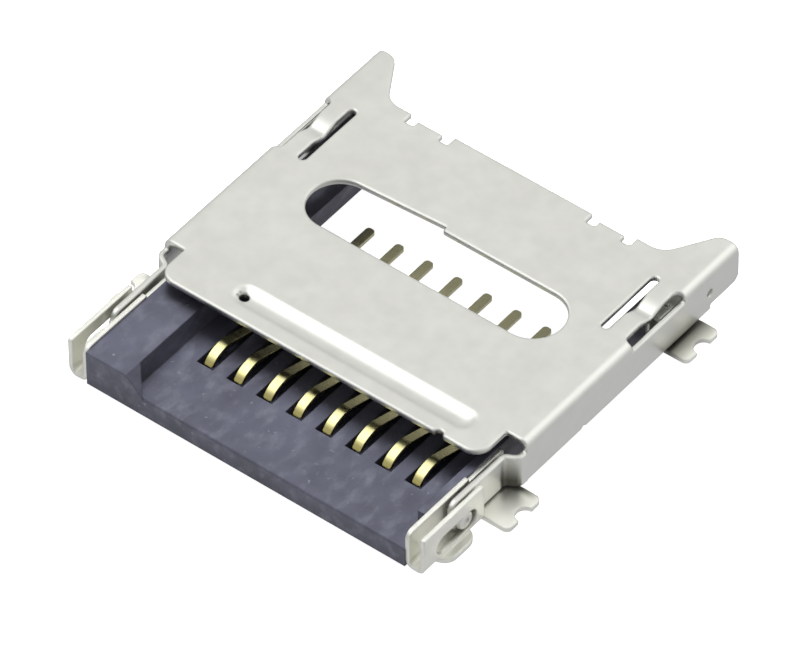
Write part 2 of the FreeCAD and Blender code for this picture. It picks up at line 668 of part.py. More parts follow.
def make_cover_shell():
    body = new_body("cover_shell")
    side, sheet, top = d.cover_half_width, d.cover_sheet, d.cover_top
    under = top - sheet
    inner_fold = d.fold_radius - sheet
    section = [
        (-side, d.wall_bottom),
        (-side, top, d.fold_radius),
        (side, top, d.fold_radius),
        (side, d.wall_bottom),
        (side - sheet, d.wall_bottom),
        (side - sheet, under, inner_fold),
        (-side + sheet, under, inner_fold),
        (-side + sheet, d.wall_bottom),
    ]
    pad(body, "XZ_Plane", station(d.ear_reach), section, d.ear_reach - d.wall_front)
    nose = [
        (-d.panel_side, station(d.panel_front), d.panel_corner),
        (d.panel_side, station(d.panel_front), d.panel_corner),
        (d.panel_side, station(d.wall_front)),
        (-d.panel_side, station(d.wall_front)),
    ]
    pad(body, "XY_Plane", under, nose, sheet)
    notch = new_sketch(body, "XY_Plane", top)
    draw_circle(notch, d.edge_notch_place, station(d.panel_front), d.edge_notch)
    extrude(body, "PartDesign::Pocket", notch, sheet)
    cut_rear_edge(body)
    shape_ears(body)
    cut_window(body)
    for sign in (-1, 1):
        add_hinge_arm(body, sign)
        cut_spring(body, sign)
        add_lock_lug(body, sign)
    press_rib(body)
    return body


def cut_rear_edge(body):
    """Cut the panel back between the ears, with two notches and a tab on each side."""
    edge = station(d.rear_edge)
    floor = station(d.rear_edge - d.notch_depth)
    tab = station(d.rear_edge - d.tab_drop)
    beyond = station(d.ear_reach + 1)
    slant = (d.ear_shoulder - d.ear_root) * as_size((beyond - edge).value / (station(d.ear_reach) - edge).value)
    half = [
        (d.ear_root + slant, beyond),
        (d.ear_root, edge, d.ear_curve),
        (d.notch_outer, edge),
        (d.notch_outer, floor, d.notch_round),
        (d.notch_outer - d.notch_width, floor, d.notch_round),
        (d.notch_outer - d.notch_width, tab),
        (d.notch_inner + d.notch_width, tab),
        (d.notch_inner + d.notch_width, floor, d.notch_round),
        (d.notch_inner, floor, d.notch_round),
        (d.notch_inner, edge),
    ]
    mirrored = [(-corner[0],) + corner[1:] for corner in reversed(half)]
    pocket(body, "XY_Plane", d.cover_top, half + mirrored, d.cover_sheet)
    tips = [(d.ear_shoulder, station(d.ear_reach)), (-d.ear_shoulder, station(d.ear_reach))]
    finish_edges(body, "Fillet", d.ear_round, tips, 2)


def shape_ears(body):
    """Raise the lower edge of the walls under the ears and round its corners."""
    side = d.cover_half_width
    end = station(d.ear_reach)
    rise = box_corners(station(d.ear_step), end, d.wall_bottom, d.ear_wall_bottom)
    pocket(body, "YZ_Plane", side, rise, side * 2)
    finish_edges(body, "Fillet", d.ear_corner, [(end, d.ear_wall_bottom)], 0)
    nick = d.wall_front + d.nick_run
    vee = [
        (station(nick - d.wall_nick), d.wall_bottom),
        (station(nick + d.wall_nick), d.wall_bottom),
        (station(nick), d.wall_bottom + d.wall_nick),
    ]
    pocket(body, "YZ_Plane", side, vee, side * 2)


def cut_window(body):
    """Cut the window that shows the solder tails."""
    radius = d.window_width / 2
    middle = station(d.window_front + radius)
    reach = d.window_half - radius
    sketch = new_sketch(body, "XY_Plane", d.cover_top)
    draw_obround(sketch, (d.window_centre - reach, middle), (d.window_centre + reach, middle), radius)
    extrude(body, "PartDesign::Pocket", sketch, d.cover_sheet)
    rear = station(d.window_front + d.window_width)
    step = d.window_centre - d.window_step_place
    slant = [
        (step - d.window_slant, rear),
        (step - d.window_slant, middle),
        (step, middle),
        (step, rear + d.window_step),
    ]
    pocket(body, "XY_Plane", d.cover_top, slant, d.cover_sheet)


def cut_spring(body, sign):
    """Cut the slot and the fold opening that free a strip of the panel, and dip the strip in a V."""
    top, sheet = d.cover_top, d.cover_sheet
    radius = d.slot_width / 2
    middle = (d.slot_inner + radius) * sign
    slot = new_sketch(body, "XY_Plane", top)
    draw_obround(
        slot,
        (middle, station(d.slot_front + radius)),
        (middle, station(d.slot_rear - radius)),
        radius,
    )
    extrude(body, "PartDesign::Pocket", slot, sheet)
    outside = (d.cover_half_width + d.cover_sheet) * sign
    opening = box_corners(
        d.opening_inner * sign,
        outside,
        station(d.slot_front),
        station(d.slot_front + d.opening_length),
        d.opening_round,
    )
    pocket(body, "XY_Plane", top, opening, d.opening_drop)
    strip_inner = (d.slot_inner + d.slot_width) * sign
    strip_outer = d.opening_inner * sign
    flat = box_corners(strip_inner, strip_outer, station(d.dip_front), station(d.dip_rear))
    pocket(body, "XY_Plane", top, flat, sheet)
    low = top - d.dip_depth
    dip = [
        (station(d.dip_front), top),
        (station(d.dip_front), top - sheet),
        (station(d.dip_low), low - sheet, d.dip_radius + sheet),
        (station(d.dip_rear), top - sheet),
        (station(d.dip_rear), top),
        (station(d.dip_low), low, d.dip_radius),
    ]
    width = d.opening_inner - d.slot_inner - d.slot_width
    left = strip_inner if sign > 0 else strip_outer
    pad(body, "YZ_Plane", left, dip, width)


def arm_planes():
    """Return the inner and outer faces of a hinge arm, centred between the bracket's legs."""
    gap_low = d.base_half_width + d.bracket_sheet
    gap_high = d.bracket_half_width - d.bracket_sheet
    middle = (gap_low + gap_high) / 2
    return middle - d.cover_sheet / 2, middle + d.cover_sheet / 2


def add_hinge_arm(body, sign):
    """Add the joggle and the arm in front of a side wall, with the hole for its pivot pin."""
    inner, outer = arm_planes()
    side, sheet = d.cover_half_width, d.cover_sheet
    # The sheet's inner face turns later than its outer one, by half of the joggle's angle.
    offset = side - outer
    turn = math.atan(offset.value / d.joggle_run.value)
    share = Size(f"tan(atan({offset.formula} / {d.joggle_run.formula}) / 2)", math.tan(turn / 2))
    shift = sheet * share
    tip = station(d.pivot_station - d.arm_nose)
    tight = d.joggle_radius
    wide = d.joggle_radius + sheet
    plan = [
        (inner * sign, tip),
        (outer * sign, tip),
        (outer * sign, station(d.joggle_front), tight),
        (side * sign, station(d.joggle_rear), wide),
        (side * sign, station(d.wall_front)),
        ((side - sheet) * sign, station(d.wall_front)),
        ((side - sheet) * sign, station(d.joggle_rear + shift), tight),
        (inner * sign, station(d.joggle_front + shift), wide),
    ]
    low = d.pivot_height - d.arm_drop
    pad(body, "XY_Plane", low, plan, d.joggle_top - low)
    finish_edges(body, "Fillet", d.arm_heel, [(tip, low)], 0)
    finish_edges(body, "Fillet", d.arm_brow, [(tip, d.joggle_top)], 0)
    hole = new_sketch(body, "YZ_Plane", outer * sign)
    draw_circle(hole, station(d.pivot_station), d.pivot_height, d.shank_radius + d.running_fit)
    extrude(body, "PartDesign::Pocket", hole, sheet, reverse=sign < 0)


def add_lock_lug(body, sign):
    """Press a lug inwards from the side wall, with its hollow on the outside."""
    place = (station(d.lug_station), d.lug_height)
    wall = d.cover_half_width - d.cover_sheet
    lug = new_sketch(body, "YZ_Plane", wall * sign)
    draw_circle(lug, *place, d.lug_radius)
    extrude(body, "PartDesign::Pad", lug, d.lug_reach, reverse=sign > 0)
    hollow = new_sketch(body, "YZ_Plane", d.cover_half_width * sign)
    draw_circle(hollow, *place, d.lug_radius * 0.7)
    extrude(body, "PartDesign::Pocket", hollow, d.cover_sheet, reverse=sign < 0)


def press_rib(body):
    """Press the rib that holds the card on its contacts down from the panel, at the sheet's thickness.

    Its hollow is the lower part of a long capsule. Its underside is the same capsule, larger by the sheet.
    """
    reach = d.rib_half - d.rib_width / 2
    left, right = d.row_centre - reach, d.row_centre + reach
    line = station(d.rib_station)
    under = d.cover_top - d.cover_sheet
    outside = d.rib_radius + d.cover_sheet
    bulge = new_sketch(body, "XZ_Plane", line)
    draw_trough(bulge, left, right, d.rib_level, outside, under)
    depth = d.rib_level - under
    above = d.rib_level - d.cover_top
    angles = f"acos({depth.formula} / {outside.formula}) + acos({above.formula} / {depth.formula})"
    turn_about_axis(body, "PartDesign::Revolution", bulge, angles)
    hollow = new_sketch(body, "XZ_Plane", line)
    draw_trough(hollow, left, right, d.rib_level, d.rib_radius, d.rib_level)
    turn_about_axis(body, "PartDesign::Groove", hollow, "360")
    hole = new_sketch(body, "XY_Plane", d.cover_top)
    draw_circle(hole, d.row_centre - d.rib_half + d.rib_hole_inset, line, d.rib_hole)
    extrude(body, "PartDesign::Pocket", hole, d.cover_sheet + d.rib_depth)
    round_rim(body, line)


def turn_about_axis(body, kind, sketch, angle):
    """Turn a section about the line drawn in its sketch, half of the angle to each side."""
    feature = body.newObject(kind, body.Label + "_" + kind.split("::")[1].lower())
    feature.Profile = sketch
    feature.ReferenceAxis = (sketch, ["Axis0"])
    feature.Midplane = True
    feature.setExpression("Angle", angle)
    sketch.Visibility = False


def round_rim(body, line):
    """Round the rim where the rib's hollow meets the panel."""
    doc.recompute()
    base = body.Tip
    half = (d.rib_width / 2).value + 1e-3
    reach = d.rib_half.value + 1e-3
    names = []
    for number, edge in enumerate(base.Shape.Edges, start=1):
        box = edge.BoundBox
        level = abs(box.ZMax - d.cover_top.value) < 1e-5 and box.ZLength < 1e-5
        across = line.value - half < box.YMin and box.YMax < line.value + half
        along = d.row_centre.value - reach < box.XMin and box.XMax < d.row_centre.value + reach
        if level and across and along:
            names.append(f"Edge{number}")
    feature = body.newObject("PartDesign::Fillet", "rib_rim_round")
    feature.Base = (base, names)
    feature.setExpression("Radius", d.rib_rim.formula)


# Front brackets
# A U of sheet stands against each side of the base. Its outer leg has the long slot of the pivot pin, a
# half round tab lies on the board below that slot, and a foot with two lobes is soldered behind it.

def make_front_bracket(label, sign):
    body = new_body(label)
    sheet, bend = d.bracket_sheet, d.bracket_bend
    inner, outer = d.base_half_width, d.bracket_half_width
    hollow = bend - sheet
    channel = [
        (inner * sign, d.inner_leg_height),
        (inner * sign, 0, bend),
        (outer * sign, 0, bend),
        (outer * sign, d.outer_leg_height),
        ((outer - sheet) * sign, d.outer_leg_height),
        ((outer - sheet) * sign, sheet, hollow),
        ((inner + sheet) * sign, sheet, hollow),
        ((inner + sheet) * sign, d.inner_leg_height),
    ]
    length = d.outer_leg_rear - d.bracket_front
    pad(body, "XZ_Plane", station(d.outer_leg_rear), channel, length)
    front = station(d.bracket_front)
    finish_edges(body, "Fillet", d.inner_leg_corner, [(front, d.inner_leg_height)], 0)
    finish_edges(body, "Fillet", d.outer_leg_corner, [(front, d.outer_leg_height)], 0)
    add_foot(body, sign, d.inner_leg_low, d.outer_leg_rear, d.inner_leg_rear)
    slot = new_sketch(body, "YZ_Plane", outer * sign)
    draw_obround(
        slot,
        (station(d.pivot_station - d.slide_travel), d.pivot_height),
        (station(d.pivot_station + d.slide_play), d.pivot_height),
        d.pin_radius + d.running_fit,
    )
    extrude(body, "PartDesign::Pocket", slot, bend, reverse=sign < 0)
    tab = [
        ((outer - bend) * sign, station(d.tab_front)),
        ((outer - bend) * sign, station(d.tab_front + d.tab_length)),
        ((outer + d.tab_reach) * sign, station(d.tab_front + d.tab_length - d.tab_round / 2), d.tab_round),
        ((outer + d.tab_reach) * sign, station(d.tab_front + d.tab_round / 2), d.tab_round),
    ]
    pad(body, "XY_Plane", 0, tab, sheet)
    add_tongue(body, sign, d.front_tongue)
    return body


def add_foot(body, sign, height, front, rear):
    """Add a stretch of upright leg whose foot spreads on the board in two rounded lobes."""
    sheet, bend = d.bracket_sheet, d.bracket_bend
    inner = d.base_half_width
    section = [
        (inner * sign, height),
        (inner * sign, 0, bend),
        (d.foot_reach * sign, 0),
        (d.foot_reach * sign, sheet),
        ((inner + sheet) * sign, sheet, bend - sheet),
        ((inner + sheet) * sign, height),
    ]
    pad(body, "XZ_Plane", station(rear), section, rear - front)
    split_foot(body, sign, front, rear)


def split_foot(body, sign, front, rear):
    """Round a foot's corners and cut the notch between its lobes."""
    edge = d.foot_reach * sign
    finish_edges(body, "Fillet", d.foot_corner, [(edge, station(front)), (edge, station(rear))], 2)
    notch = new_sketch(body, "XY_Plane", 0)
    draw_circle(notch, edge, station((front + rear) / 2), d.foot_notch)
    extrude(body, "PartDesign::Pocket", notch, d.bracket_sheet, reverse=True)


def add_tongue(body, sign, middle):
    """Add the tongue that is pressed into the side of the base."""
    half = d.tongue_length / 2
    section = box_corners(
        station(middle - half),
        station(middle + half),
        d.tongue_bottom,
        d.tongue_bottom + d.bracket_sheet,
    )
    pad(body, "YZ_Plane", d.base_half_width * sign, section, d.tongue_depth, reverse=sign > 0)


# Rear brackets
# A shorter bracket near the card's end: the flange at its top is what the cover's lugs go under.

def make_rear_bracket(label, sign):
    body = new_body(label)
    sheet, bend = d.bracket_sheet, d.bracket_bend
    inner, top = d.base_half_width, d.flange_height
    hollow = bend - sheet
    front, rear = d.rear_bracket_front, d.rear_bracket_rear
    section = [
        (d.flange_reach * sign, top),
        (inner * sign, top, bend),
        (inner * sign, 0, bend),
        (d.foot_reach * sign, 0),
        (d.foot_reach * sign, sheet),
        ((inner + sheet) * sign, sheet, hollow),
        ((inner + sheet) * sign, top - sheet, hollow),
        (d.flange_reach * sign, top - sheet),
    ]
    pad(body, "XZ_Plane", station(rear), section, rear - front)
    split_foot(body, sign, front, rear)
    hole = new_sketch(body, "XY_Plane", top)
    middle = (d.base_half_width + d.bracket_sheet + d.flange_reach) / 2
    draw_circle(hole, middle * sign, station(front + d.flange_hole_inset), d.flange_hole)
    extrude(body, "PartDesign::Pocket", hole, sheet)
    add_tongue(body, sign, d.rear_tongue)
    return body


# Pivot pins
# A stepped pin each: the shank is held in the cover's arm, the wider head runs in the bracket's slot.

def make_pivot_pin(label, sign):
    body = new_body(label)
    inner, outer = arm_planes()
    shoulder = outer + d.running_fit
    end = d.bracket_half_width - d.pin_inset
    start = inner - d.running_fit
    place = (station(d.pivot_station), d.pivot_height)
    head = new_sketch(body, "YZ_Plane", shoulder * sign)
    draw_circle(head, *place, d.pin_radius)
    extrude(body, "PartDesign::Pad", head, end - shoulder, reverse=sign < 0)
    doc.recompute()
    head_pad = body.Tip
    rim = [
        f"Edge{number}"
        for number, edge in enumerate(head_pad.Shape.Edges, start=1)
        if abs(edge.CenterOfMass.x - (end * sign).value) < 1e-5
    ]
    dome = body.newObject("PartDesign::Fillet", label + "_dome")
    dome.Base = (head_pad, rim)
    dome.setExpression("Radius", d.pin_dome.formula)
    mark = new_sketch(body, "YZ_Plane", end * sign)
    draw_circle(mark, *place, d.pin_dimple)
    extrude(body, "PartDesign::Pocket", mark, d.pin_dimple_depth, reverse=sign < 0)
    shank = new_sketch(body, "YZ_Plane", shoulder * sign)
    draw_circle(shank, *place, d.shank_radius)
    extrude(body, "PartDesign::Pad", shank, shoulder - start, reverse=sign > 0)
    return body


pieces = [make_base_housing()]
pieces += [make_contact(number) for number in range(1, 9)]
pieces.append(make_cover_shell())
for side_name, side_sign in (("left", -1), ("right", 1)):
    pieces.append(make_front_bracket(f"front_bracket_{side_name}", side_sign))
    pieces.append(make_rear_bracket(f"rear_bracket_{side_name}", side_sign))
    pieces.append(make_pivot_pin(f"pivot_pin_{side_name}", side_sign))
doc.recompute()

for item in doc.Objects:
    if "Invalid" in item.State or "Error" in item.State:
        raise RuntimeError(f"{item.Label} failed: {item.State}")
for piece in pieces:
    if piece.Shape.isNull() or not piece.Shape.isValid() or len(piece.Shape.Solids) != 1:
        raise RuntimeError(f"{piece.Label} is not one valid solid")

os.makedirs("parts", exist_ok=True)
for piece in pieces:
    piece.Shape.exportStep(f"parts/{piece.Label}.step")
    print(f"{piece.Label}: {piece.Shape.Volume:.3f} mm3")
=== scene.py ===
# %% [markdown]
# # A hinged memory card connector
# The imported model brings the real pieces: a moulded base, eight gold contacts, a folded steel cover and
# the brackets that solder it to a board. The whole thing is 15 mm wide, so every mark below is a few
# hundredths of a millimetre. This script gives the pieces their finishes, smooths the springs' soft
# bends, wears the cut edges and lights the part as a catalogue picture does.

import math

import bmesh
import bpy
from mathutils import Matrix, Vector


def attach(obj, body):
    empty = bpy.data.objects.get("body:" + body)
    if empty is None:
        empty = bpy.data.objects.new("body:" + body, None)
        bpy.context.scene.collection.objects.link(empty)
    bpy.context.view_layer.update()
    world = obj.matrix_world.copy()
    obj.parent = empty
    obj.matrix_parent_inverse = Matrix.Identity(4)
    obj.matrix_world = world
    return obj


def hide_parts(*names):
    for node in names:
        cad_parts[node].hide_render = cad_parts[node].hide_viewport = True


MM = 0.001
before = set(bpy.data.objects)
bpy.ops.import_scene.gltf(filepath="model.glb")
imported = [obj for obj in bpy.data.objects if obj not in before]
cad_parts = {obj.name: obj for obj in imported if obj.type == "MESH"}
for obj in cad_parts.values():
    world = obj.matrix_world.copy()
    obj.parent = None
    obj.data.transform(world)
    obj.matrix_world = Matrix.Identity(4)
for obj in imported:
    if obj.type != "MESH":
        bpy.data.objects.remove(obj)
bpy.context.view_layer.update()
scene = bpy.context.scene
print("CAD nodes:", sorted(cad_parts))

# %% [markdown]
# ## The start of a finish
# Plastic, steel, gold and paper differ in colour and gloss, but each finish starts from the same shader.
# Every tree could be clicked together in the shader editor. A helper does it here, so that only what
# differs from one finish to the next has to be read.

# %% A new material
def start_material(name, colour, roughness, metallic=0.0, specular=0.5):
    """Return a new material with its tree and its Principled shader."""
    material = bpy.data.materials.new(name)
    material.use_nodes = True
    tree = material.node_tree
    shader = tree.nodes["Principled BSDF"]
    shader.inputs["Base Color"].default_value = (*colour, 1.0)
    shader.inputs["Roughness"].default_value = roughness
    shader.inputs["Metallic"].default_value = metallic
    shader.inputs["Specular IOR Level"].default_value = specular
    return material, tree, shader


# %% [markdown]
# ## Mottle and grain
# No real surface is one even colour: moulded plastic gets scuffed and rolled sheet is cloudy. A
# photographed texture could show that, but it needs each face laid out flat. Noise on object coordinates
# needs no layout, and its spots keep their size in millimetres from the smallest contact to the cover.
# Colour stops turn its value into a tint, and a range turns it into a gloss.

# %% Noise, colour stops and ranges
NOISE_LOW = 0.3
NOISE_HIGH = 0.7
DARK_STOP = 0.35
PALE_STOP = 0.65


def add_noise(tree, size, detail=3.0, stretch=(1.0, 1.0, 1.0)):
    """Add noise whose spots are about the given size in millimetres, and return its value."""
    place = tree.nodes.new("ShaderNodeTexCoord")
    scale = tree.nodes.new("ShaderNodeMapping")
    scale.inputs["Scale"].default_value = [factor / (size * MM) for factor in stretch]
    noise = tree.nodes.new("ShaderNodeTexNoise")
    noise.inputs["Scale"].default_value = 1.0
    noise.inputs["Detail"].default_value = detail
    tree.links.new(place.outputs["Object"], scale.inputs["Vector"])
    tree.links.new(scale.outputs["Vector"], noise.inputs["Vector"])
    return noise.outputs["Fac"]


def ramp(tree, value, stops):
    """Map a value through colour stops given as (position, colour)."""
    node = tree.nodes.new("ShaderNodeValToRGB")
    while len(node.color_ramp.elements) < len(stops):
        node.color_ramp.elements.new(0.5)
    for element, (position, colour) in zip(node.color_ramp.elements, stops):
        element.position = position
        element.color = (*colour, 1.0)
    tree.links.new(value, node.inputs["Fac"])
    return node.outputs["Color"]


def two_tints(tree, value, dark, pale):
    """Let noise run from a dark tint to a pale one."""
    return ramp(tree, value, [(DARK_STOP, dark), (PALE_STOP, pale)])


def to_range(tree, value, low, high):
    """Map a value from the range in which noise mostly lies to another range."""
    node = tree.nodes.new("ShaderNodeMapRange")
    node.inputs["From Min"].default_value = NOISE_LOW
    node.inputs["From Max"].default_value = NOISE_HIGH
    node.inputs["To Min"].default_value = low
    node.inputs["To Max"].default_value = high
    tree.links.new(value, node.inputs["Value"])
    return node.outputs["Result"]


# %% [markdown]
# ## Layers and relief
# A worn finish is built up like the real one: a body, then the marks that lie on it. One mix node makes
# one layer. The relief works on the light alone: the marks are a few thousandths of a millimetre deep,
# which would take millions of faces to model, while a bump node needs none. A bevel node rounds the edges
# in the same way.

# %% Layers and relief
BEVEL_SAMPLES = 4


def mix_colour(tree, factor, first, second, blend="MIX"):
    """Mix two colours, each a value or a socket, by a factor."""
    node = tree.nodes.new("ShaderNodeMix")
    node.data_type = "RGBA"
    node.blend_type = blend
    for socket, source in (("Factor_Float", factor), ("A_Color", first), ("B_Color", second)):
        target = next(item for item in node.inputs if item.identifier == socket)
        if hasattr(source, "is_output"):
            tree.links.new(source, target)
        elif isinstance(source, (int, float)):
            target.default_value = source
        else:
            target.default_value = (*source, 1.0)
    return next(item for item in node.outputs if item.identifier == "Result_Color")


def add_relief(tree, shader, heights, edge=0.0):
    """Add bumps, each a height value and its depth in millimetres, over edges rounded by a radius."""
    normal = None
    if edge:
        bevel = tree.nodes.new("ShaderNodeBevel")
        bevel.samples = BEVEL_SAMPLES
        bevel.inputs["Radius"].default_value = edge * MM
        normal = bevel.outputs["Normal"]
    for height, depth in heights:
        bump = tree.nodes.new("ShaderNodeBump")
        bump.inputs["Distance"].default_value = depth * MM
        tree.links.new(height, bump.inputs["Height"])
        if normal is not None:
            tree.links.new(normal, bump.inputs["Normal"])
        normal = bump.outputs["Normal"]
    tree.links.new(normal, shader.inputs["Normal"])


# %% [markdown]
# ## Base plastic
# The base is a dark moulded polymer with a violet cast. Handling has left it scuffed: pale smears and
# specks lie all over its flat faces, and the mould gave it a fine satin grain. One noise could stand for
# all of it, but the marks differ in size and in how sharp they are, so each kind is a layer of its own.
# The smears are also smoother than the rest and catch more light.

# %% Base plastic
BASE_MEAN = (0.07, 0.07, 0.1)
BASE_DARK = (0.061, 0.062, 0.084)
BASE_PALE = (0.088, 0.09, 0.124)
SMEAR = (0.122, 0.125, 0.162)
SPECK = (0.27, 0.28, 0.34)
NONE = (0.0, 0.0, 0.0)
MOST = (0.7, 0.7, 0.7)
FULL = (1.0, 1.0, 1.0)


def make_base_plastic():
    """Return the base's plastic: a cloudy body, smears over it, and a few specks on top."""
    material, tree, shader = start_material("base_plastic", BASE_MEAN, roughness=0.5)
    cloud = add_noise(tree, size=1.5, detail=5.0)
    smear = add_noise(tree, size=0.4, detail=6.0, stretch=(1.0, 0.6, 1.0))
    speck = add_noise(tree, size=0.22, detail=3.0)
    grain = add_noise(tree, size=0.03, detail=2.0)
    body = two_tints(tree, cloud, BASE_DARK, BASE_PALE)
    smears = ramp(tree, smear, [(0.5, NONE), (0.75, FULL)])
    scuffed = mix_colour(tree, smears, body, SMEAR)
    specks = ramp(tree, speck, [(0.68, NONE), (0.78, MOST)])
    colour = mix_colour(tree, specks, scuffed, SPECK)
    tree.links.new(colour, shader.inputs["Base Color"])
    tree.links.new(to_range(tree, smear, low=0.6, high=0.42), shader.inputs["Roughness"])
    add_relief(tree, shader, [(grain, 0.004), (smear, 0.012)], edge=0.05)
    print("base plastic:", len(tree.nodes), "nodes")
    return material


base_plastic = make_base_plastic()

# %% [markdown]
# ## Zones of a piece
# The light can't reach into the joggle of the cover's arms or under the walls where the feet start, so
# both lie in shade and look darker. That shade is painted into the colour. The painted shade could be
# drawn on by hand. A product of ramps along the axes does it with a few numbers, and the size of X stands
# for both sides at once.

# %% Ramps and zones
def add_place(tree, axis, start, end, mirrored=False):
    """Return a value that rises from 0 to 1 between two places along an axis, given in millimetres."""
    place = tree.nodes.new("ShaderNodeTexCoord")
    split = tree.nodes.new("ShaderNodeSeparateXYZ")
    rise = tree.nodes.new("ShaderNodeMapRange")
    rise.inputs["From Min"].default_value = start * MM
    rise.inputs["From Max"].default_value = end * MM
    tree.links.new(place.outputs["Object"], split.inputs["Vector"])
    value = split.outputs[axis]
    if mirrored:
        size = tree.nodes.new("ShaderNodeMath")
        size.operation = "ABSOLUTE"
        tree.links.new(value, size.inputs[0])
        value = size.outputs["Value"]
    tree.links.new(value, rise.inputs["Value"])
    return rise.outputs["Result"]


def multiply(tree, first, second):
    """Return the product of two values."""
    node = tree.nodes.new("ShaderNodeMath")
    node.operation = "MULTIPLY"
    tree.links.new(first, node.inputs[0])
    tree.links.new(second, node.inputs[1])
    return node.outputs["Value"]


def add_zone(tree, ramps):
    """Return the product of the (axis, start, end) ramps that enclose a zone of a piece."""
    amount = add_place(tree, *ramps[0])
    for axis, start, end in ramps[1:]:
        amount = multiply(tree, amount, add_place(tree, axis, start, end, mirrored=axis == "X"))
    return amount


# %% [markdown]
# ## Sheet steel
# The cover is stainless sheet with a satin, faintly warm surface and a soft mottle from the rolling mill.
# The brackets are tinned for soldering, which makes them paler and more matt, and the pins are turned
# steel. All three are one recipe with other numbers, so one function makes them. Two of them have painted
# shade in a zone: the joggle of the cover's arms, and the root of the front brackets' feet, where the
# light can't reach. A zone is a list of ramps, each with an axis, the place where the painted shade starts
# and the place where it is full, in millimetres.

# %% Cover, bracket and pin steel
COVER_DARK = (0.745, 0.75, 0.7)
COVER_PALE = (0.77, 0.775, 0.73)
BRACKET_DARK = (0.82, 0.82, 0.75)
BRACKET_PALE = (0.89, 0.89, 0.82)
PIN_DARK = (0.68, 0.68, 0.62)
PIN_PALE = (0.78, 0.78, 0.72)
DULLED = (0.965, 0.965, 0.97)
# Painted shade: this dark colour and the two zones below darken the places where the light can't reach.
PAINTED_SHADE = (0.13, 0.13, 0.11)
JOGGLE_SHADE = [("Y", -3.52, -3.42), ("Y", -2.95, -3.1), ("Z", 1.4, 0.5), ("X", 6.0, 6.1)]
FOOT_ROOT_SHADE = [("Y", -3.22, -3.05), ("Z", 0.3, 0.16), ("X", 7.38, 6.8)]


def make_sheet_metal(name, dark, pale, roughness, metallic=1.0, shade_zone=None):
    """Return a satin sheet metal with a range of roughness, and with painted shade in a zone if one is
    given.
    """
    low, high = roughness
    material, tree, shader = start_material(name, pale, low, metallic=metallic)
    cloud = add_noise(tree, size=2.0, detail=3.0)
    mottle = add_noise(tree, size=0.5, detail=4.0)
    grain = add_noise(tree, size=0.04, detail=2.0, stretch=(1.0, 0.35, 1.0))
    flats = two_tints(tree, cloud, dark, pale)
    patches = two_tints(tree, mottle, DULLED, FULL)
    colour = mix_colour(tree, 1.0, flats, patches, "MULTIPLY")
    # Painted shade: the zone is darkened in the colour.
    if shade_zone:
        colour = mix_colour(tree, add_zone(tree, shade_zone), colour, PAINTED_SHADE)
    tree.links.new(colour, shader.inputs["Base Color"])
    tree.links.new(to_range(tree, mottle, low, high), shader.inputs["Roughness"])
    add_relief(tree, shader, [(grain, 0.0015), (mottle, 0.003)], edge=0.1)
    print(name + ":", len(tree.nodes), "nodes")
    return material


cover_steel = make_sheet_metal("cover_steel", COVER_DARK, COVER_PALE, (0.3, 0.38), shade_zone=JOGGLE_SHADE)
bracket_steel = make_sheet_metal(
    "bracket_steel", BRACKET_DARK, BRACKET_PALE, (0.34, 0.46), metallic=0.8, shade_zone=FOOT_ROOT_SHADE
)
pin_steel = make_sheet_metal("pin_steel", PIN_DARK, PIN_PALE, (0.24, 0.34))

# %% [markdown]
# ## Contact gold
# The contacts are spring strip with a thin gold plating. It is shiny from the tip to the crest, where it
# meets the card. The very tip, which dips into its slot, is painted dim as shade, and behind the crest,
# under the cover, the beam is painted a darker olive as shade. The solder tails are a matt khaki. Four
# materials could do this, but then each border would be a hard line. One material that changes along Y lets
# the tints run into each other, as they do in plating. The stations below are places along Y, in
# millimetres.

# %% Contact gold
TIP_END = -4.98
TIP_TOP = -4.74
CREST_STATION = -4.27
BEAM_STATION = -4.12
TAIL_STATION = 0.5
TAIL_FADE = 0.2
# Painted shade: the tip's dim colour stands for its slot's shade, and the beam's olive for the shade under
# the cover.
TIP_SHADE = (0.36, 0.32, 0.12)
WORN_GOLD = (0.81, 0.76, 0.36)
GOLD = (0.91, 0.87, 0.47)
BEAM_SHADE = (0.72, 0.67, 0.36)
KHAKI = (0.46, 0.44, 0.28)


def make_contact_gold():
    """Return the contacts' plating, which changes its tint from the tip to the solder tail, with painted
    shade at the tip and on the beam.
    """
    material, tree, shader = start_material("contact_gold", GOLD, roughness=0.24, metallic=1.0)
    mottle = add_noise(tree, size=0.3, detail=3.0)
    grain = add_noise(tree, size=0.03, detail=2.0, stretch=(1.0, 0.3, 1.0))
    plating = two_tints(tree, mottle, WORN_GOLD, GOLD)
    # Painted shade at the tip, then on the beam behind the crest.
    front = mix_colour(tree, add_place(tree, "Y", TIP_END, TIP_TOP), TIP_SHADE, plating)
    beam = mix_colour(tree, add_place(tree, "Y", CREST_STATION, BEAM_STATION), front, BEAM_SHADE)
    tail = add_place(tree, "Y", TAIL_STATION, TAIL_STATION + TAIL_FADE)
    colour = mix_colour(tree, tail, beam, KHAKI)
    tree.links.new(colour, shader.inputs["Base Color"])
    tree.links.new(to_range(tree, mottle, low=0.22, high=0.34), shader.inputs["Roughness"])
    add_relief(tree, shader, [(grain, 0.001)], edge=0.03)
    print("contact gold:", len(tree.nodes), "nodes")
    return material


contact_gold = make_contact_gold()

# %% [markdown]
# ## Dress the CAD pieces
# Every node of the model takes its finish through its material slot. Shading can be flat, which shows
# every triangle of a fold, or smooth, which bulges the flats. The steep angle between two faces tells an
# edge from a fold here, so smooth shading stops there: folds look round and edges stay crisp.

# %% Finishes on the nodes
FOLD_ANGLE = 35.0
FINISHES = {
    "base_housing": base_plastic,
    "contact": contact_gold,
    "cover_shell": cover_steel,
    "front_bracket": bracket_steel,
    "rear_bracket": bracket_steel,
    "pivot_pin": pin_steel,
}


